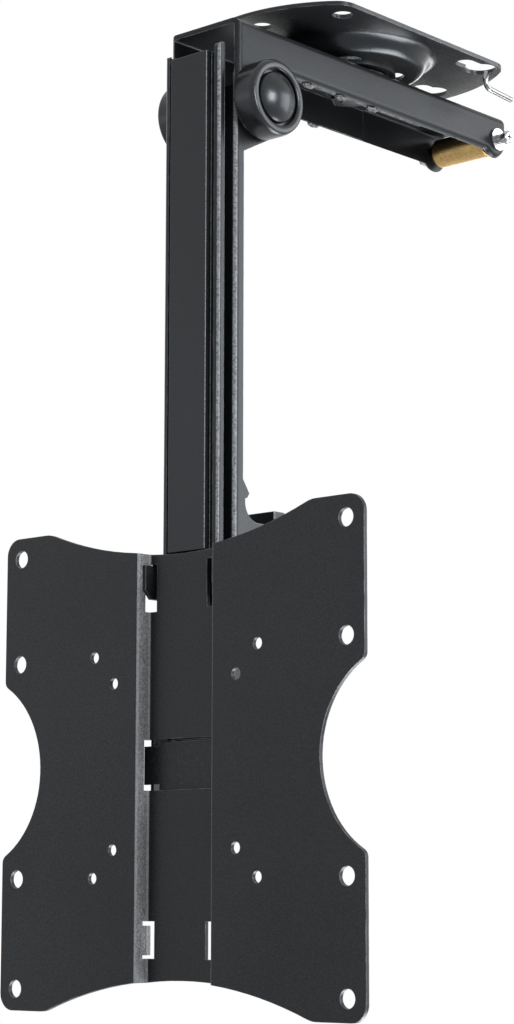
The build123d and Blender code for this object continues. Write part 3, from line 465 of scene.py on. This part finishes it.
def plated_steel(name, bright, dark, dull, shiny, grain, bump, grime):
    """Plated steel: bright metal with a cloudy bloom, fine grain and darker rubbed edges."""
    material, tree = new_material(name)
    skin = place_group(tree, coat_grain, Grain_Scale=grain, Cloud_Scale=metal_clouds)
    edges = place_group(
        tree,
        rubbed_edges,
        Amount=grime,
        Edge_Radius=metal_edge_radius,
        Patch_Scale=metal_edge_patches,
    )
    body = colour_mix(tree, skin["Tone"], bright, dark)
    worn = colour_mix(tree, edges["Mask"], body, dark)
    finish_shader(tree, worn, skin, dull, shiny, bump, relief=metal_relief, Metallic=1.0)
    return material


def moulded_plastic(name, body, marked, dull, shiny, grain, bump):
    """Moulded plastic: even colour with faint clouds, a fine mould grain and marked edges."""
    material, tree = new_material(name)
    skin = place_group(tree, coat_grain, Grain_Scale=grain, Cloud_Scale=plastic_clouds)
    edges = place_group(
        tree, rubbed_edges, Amount=plastic_edge_wear, Edge_Radius=plastic_edge_radius
    )
    clouded = colour_mix(tree, skin["Tone"], body, marked)
    worn = colour_mix(tree, edges["Mask"], clouded, marked)
    finish_shader(
        tree,
        worn,
        skin,
        dull,
        shiny,
        bump,
        relief=plastic_relief,
        Specular_IOR_Level=plastic_gloss,
        Specular_Tint=coat_sheen,
    )
    return material


rod_zinc = plated_steel(
    "rod_zinc",
    bright=(0.36, 0.37, 0.38, 1.0),
    dark=(0.15, 0.155, 0.16, 1.0),
    dull=0.22,
    shiny=0.12,
    grain=900.0,
    bump=0.10,
    grime=0.2,
)
disc_plastic = moulded_plastic(
    "disc_plastic",
    body=(0.0080, 0.0080, 0.0085, 1.0),
    marked=(0.0200, 0.0200, 0.0210, 1.0),
    dull=0.44,
    shiny=0.30,
    grain=1500.0,
    bump=0.12,
)
finish_nodes(rod_zinc, "hanger_rod")
finish_nodes(plate_coat, "swivel_bolt", "swivel_washer", "swivel_nut", "swivel_boss")
finish_nodes(disc_plastic, "glide_disc")


# The swing arm.
# A folded channel of thick sheet, open below, with a liner welded inside by six short beads.
# It is powder coated after welding, so the beads show as shiny lumps under the coat, and their coat
# is painted light grey in flecks as painted glints.

weld_voxel = 0.0003
weld_lump_size = 0.0011
weld_lump_height = 0.0016
weld_lump_level = 0.45

# The arm's level folds get a faint painted highlight from the fold mask.
arm_coat = powder_coat(
    "arm_coat",
    dark=(0.0068, 0.0073, 0.0084, 1.0),
    light=(0.0165, 0.0173, 0.0194, 1.0),
    dull=0.42,
    shiny=0.32,
    grain=1000.0,
    bump=0.50,
    rubbed=1.0,
    level=0.2,
)
# The weld coat's light grey flecks are painted glints.
weld_painted_glint_coat = powder_coat(
    "weld_painted_glint_coat",
    dark=(0.0300, 0.0300, 0.0310, 1.0),
    light=(0.2200, 0.2200, 0.2250, 1.0),
    dull=0.30,
    shiny=0.18,
    grain=600.0,
    bump=0.8,
    rubbed=1.0,
)
finish_nodes(arm_coat, "arm_channel", "arm_liner")

# The beads keep their place and get the uneven, rippled skin of hand-laid weld.
weld_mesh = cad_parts["arm_welds"].data.copy()
weld_mesh.name = "weld_beads"
weld_mesh.materials.clear()
weld_mesh.materials.append(weld_painted_glint_coat)
weld_beads = bpy.data.objects.new("weld_beads", weld_mesh)
bpy.context.scene.collection.objects.link(weld_beads)
even = weld_beads.modifiers.new("even_mesh", "REMESH")
even.mode = "VOXEL"
even.voxel_size = weld_voxel
even.use_smooth_shade = True
ripple = bpy.data.textures.new("weld_beads_ripple", "CLOUDS")
ripple.noise_scale = weld_lump_size
lumps = weld_beads.modifiers.new("lumps", "DISPLACE")
lumps.texture = ripple
lumps.texture_coords = "LOCAL"
lumps.strength = weld_lump_height
lumps.mid_level = weld_lump_level
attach(weld_beads, "arm")
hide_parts("arm_welds")


# The catch roller.
# A turned steel roller with yellow passivated zinc plating spins on a long bright screw,
# between two short black collars, with a washer at each side and a nut.

passivated_zinc = plated_steel(
    "passivated_zinc",
    bright=(0.59, 0.41, 0.175, 1.0),
    dark=(0.35, 0.23, 0.085, 1.0),
    dull=0.50,
    shiny=0.30,
    grain=700.0,
    bump=0.5,
    grime=0.6,
)
bright_zinc = plated_steel(
    "bright_zinc",
    bright=(0.56, 0.57, 0.58, 1.0),
    dark=(0.22, 0.23, 0.24, 1.0),
    dull=0.30,
    shiny=0.14,
    grain=900.0,
    bump=0.12,
    grime=0.8,
)
finish_nodes(passivated_zinc, "catch_roller")
finish_nodes(bright_zinc, "roller_screw", "roller_washers", "roller_nut")
finish_nodes(disc_plastic, "roller_collars")


# The main hinge.
# A plated shaft and nut run through a sleeve, under moulded black covers with domed buttons.

button_rim_height = 0.0022
button_rise = 0.0046
button_edge_round = 0.0005
button_crease_angle = 0.6
turn_steps = 72
dome_steps = 14

cap_plastic = moulded_plastic(
    "cap_plastic",
    body=(0.0060, 0.0062, 0.0068, 1.0),
    marked=(0.0140, 0.0143, 0.0150, 1.0),
    dull=0.31,
    shiny=0.22,
    grain=1600.0,
    bump=0.25,
)
dull_zinc = plated_steel(
    "dull_zinc",
    bright=(0.42, 0.43, 0.45, 1.0),
    dark=(0.17, 0.18, 0.19, 1.0),
    dull=0.48,
    shiny=0.32,
    grain=900.0,
    bump=0.20,
    grime=0.8,
)
finish_nodes(cap_plastic, "hinge_cap_right", "hinge_cap_left")
finish_nodes(dull_zinc, "hinge_shaft", "hinge_nut", "hinge_sleeve")


def dome_profile(radius):
    """The outline of half a button, from the middle of its seat to the top of its dome."""
    ball = (radius * radius + button_rise * button_rise) / (2.0 * button_rise)
    edge_lean = math.asin(radius / ball)
    profile = [(0.0, 0.0), (radius, 0.0), (radius, button_rim_height - button_edge_round)]
    for step in range(dome_steps + 1):
        lean = edge_lean * (1.0 - step / dome_steps)
        inset = button_edge_round * 0.5 if step == 0 else 0.0
        height = button_rim_height + ball * math.cos(lean) - (ball - button_rise)
        profile.append((ball * math.sin(lean) - inset, height))
    return profile


def domed_button(name, node, outward):
    """A moulded button turned about the hinge line, with a soft rim and a full dome."""
    low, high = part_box(node)
    centre_y = (low.y + high.y) / 2.0
    centre_z = (low.z + high.z) / 2.0
    seat = low.x if outward > 0 else high.x
    shape = bmesh.new()
    rings = []
    for spread, height in dome_profile((high.z - low.z) / 2.0):
        ring = []
        for turn in range(turn_steps if spread else 1):
            angle = 2.0 * math.pi * turn / turn_steps
            corner = (
                seat + outward * height,
                centre_y + spread * math.cos(angle),
                centre_z + spread * math.sin(angle),
            )
            ring.append(shape.verts.new(corner))
        rings.append(ring)
    for inner, outer in zip(rings, rings[1:]):
        for turn in range(turn_steps):
            after = (turn + 1) % turn_steps
            corners = [inner[turn % len(inner)], outer[turn % len(outer)]]
            corners += [outer[after % len(outer)], inner[after % len(inner)]]
            shape.faces.new(list(dict.fromkeys(corners)))
    bmesh.ops.recalc_face_normals(shape, faces=shape.faces)
    for face in shape.faces:
        face.smooth = True
    for edge in shape.edges:
        edge.smooth = edge.calc_face_angle(0.0) < button_crease_angle
    mesh = bpy.data.meshes.new(name)
    shape.to_mesh(mesh)
    shape.free()
    mesh.materials.append(cap_plastic)
    piece = bpy.data.objects.new(name, mesh)
    bpy.context.scene.collection.objects.link(piece)
    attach(piece, "arm")
    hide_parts(node)


domed_button("domed_button_right", "hinge_button_right", 1.0)
domed_button("domed_button_left", "hinge_button_left", -1.0)


# The column.
# A folded rear bracket carries the front rail and its ribbed cover on a spacer, riveted
# together. All are sheet with one satin coat, lightened in specks on its upright folds as a painted
# highlight.

column_coat = powder_coat(
    "column_coat",
    dark=(0.0048, 0.0055, 0.0066, 1.0),
    light=(0.0155, 0.0166, 0.0185, 1.0),
    dull=0.40,
    shiny=0.30,
    grain=1200.0,
    bump=0.50,
    rubbed=1.0,
    upright=1.3,
    gloss=0.33,
)
finish_nodes(column_coat, "rear_bracket", "front_rail", "column_spacer", "catch_bracket")
finish_nodes(dull_zinc, "column_rivets")

cover_sheet = 0.0010
cover_rib_half_width = 0.0114
cover_rib_rise = 0.0035
cover_tail_rise = 0.0012
cover_rib_end_z = -0.2620
cover_edge_round = 0.0005
cover_edge_steps = 3


def hat_strip(shape, half_width, back_y, rise, low_z, high_z):
    """One length of folded strip: two flat sides with a hollow rib standing proud between them."""
    rib_half = cover_rib_half_width
    front_y = back_y - cover_sheet
    outline = [
        (-half_width, back_y),
        (-rib_half + cover_sheet, back_y),
        (-rib_half + cover_sheet, front_y - rise + cover_sheet),
        (rib_half - cover_sheet, front_y - rise + cover_sheet),
        (rib_half - cover_sheet, back_y),
        (half_width, back_y),
        (half_width, front_y),
        (rib_half, front_y),
        (rib_half, front_y - rise),
        (-rib_half, front_y - rise),
        (-rib_half, front_y),
        (-half_width, front_y),
    ]
    low_ring = [shape.verts.new((x, y, low_z)) for x, y in outline]
    high_ring = [shape.verts.new((x, y, high_z)) for x, y in outline]
    shape.faces.new(low_ring)
    shape.faces.new(high_ring)
    for first in range(len(outline)):
        after = (first + 1) % len(outline)
        shape.faces.new([low_ring[first], low_ring[after], high_ring[after], high_ring[first]])


# The rib stands proud of the rail and drops back behind the screen plate.
cover_low, cover_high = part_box("rail_cover")
cover_shape = bmesh.new()
for rise, low_z, high_z in (
    (cover_rib_rise, cover_rib_end_z, cover_high.z),
    (cover_tail_rise, cover_low.z, cover_rib_end_z),
):
    hat_strip(cover_shape, cover_high.x, cover_high.y, rise, low_z, high_z)
bmesh.ops.recalc_face_normals(cover_shape, faces=cover_shape.faces)
cover_mesh = bpy.data.meshes.new("raised_cover")
cover_shape.to_mesh(cover_mesh)
cover_shape.free()
cover_mesh.materials.append(column_coat)
raised_cover = bpy.data.objects.new("raised_cover", cover_mesh)
bpy.context.scene.collection.objects.link(raised_cover)
rounding = raised_cover.modifiers.new("rounding", "BEVEL")
rounding.width = cover_edge_round
rounding.segments = cover_edge_steps
rounding.limit_method = "ANGLE"
rounding.harden_normals = True
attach(raised_cover, "column")
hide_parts("rail_cover")


# The tilt joint and the screen plate.
# A folded plate with screen holes is welded to a bracket that tilts on a plated bolt,
# between two natural nylon glides.

# The screen plate's upright folds get a painted highlight from the fold mask.
screen_coat = powder_coat(
    "screen_coat",
    dark=(0.0055, 0.0062, 0.0074, 1.0),
    light=(0.0420, 0.0440, 0.0475, 1.0),
    dull=0.44,
    shiny=0.34,
    grain=1300.0,
    bump=0.70,
    rubbed=1.0,
    upright=0.9,
)
natural_nylon = moulded_plastic(
    "natural_nylon",
    body=(0.74, 0.73, 0.69, 1.0),
    marked=(0.52, 0.50, 0.45, 1.0),
    dull=0.55,
    shiny=0.42,
    grain=1500.0,
    bump=0.12,
)

# The two inner walls of the channel are painted bright and speckled, a painted highlight for the
# light they catch from the right. A wall lies in a narrow band off the middle, and its normal turns
# to the middle.
wall_inner_x = 0.0205
wall_outer_x = 0.0256
wall_turn_in = -0.009
painted_wall_highlight = (0.325, 0.335, 0.350, 1.0)

tree = screen_coat.node_tree
place = add_node(tree, "ShaderNodeTexCoord").outputs
across = add_node(tree, "ShaderNodeSeparateXYZ", {0: place["Object"]}).outputs["X"]
facing = add_node(tree, "ShaderNodeSeparateXYZ", {0: place["Normal"]}).outputs["X"]
from_middle = maths(tree, "ABSOLUTE", across, 0.0)
past_inner = maths(tree, "GREATER_THAN", from_middle, wall_inner_x)
before_outer = maths(tree, "LESS_THAN", from_middle, wall_outer_x)
turned_in = maths(tree, "LESS_THAN", maths(tree, "MULTIPLY", across, facing), wall_turn_in)
in_band = maths(tree, "MULTIPLY", past_inner, before_outer)
on_wall = maths(tree, "MULTIPLY", in_band, turned_in)
wall_highlight_noise = add_node(
    tree,
    "ShaderNodeTexNoise",
    {"Vector": place["Object"], "Scale": 1100.0, "Detail": 3.0, "Roughness": 0.7},
)
wall_highlight_specks = add_node(
    tree,
    "ShaderNodeMapRange",
    {"Value": wall_highlight_noise.outputs["Fac"], "From Min": 0.34, "From Max": 0.66, "To Min": 0.3},
)
painted_wall_light = maths(tree, "MULTIPLY", on_wall, wall_highlight_specks.outputs[0], clamp=True)
paint_colour = [n for n in tree.nodes if n.type == "BSDF_PRINCIPLED"][0].inputs["Base Color"]
coat_colour = paint_colour.links[0].from_socket
feed(tree, colour_mix(tree, painted_wall_light, coat_colour, painted_wall_highlight), paint_colour)
finish_nodes(screen_coat, "screen_plate", "tilt_bracket")
finish_nodes(dull_zinc, "tilt_bolt", "tilt_nut", "tilt_washers", "tilt_sleeve")
finish_nodes(natural_nylon, "tilt_glides")
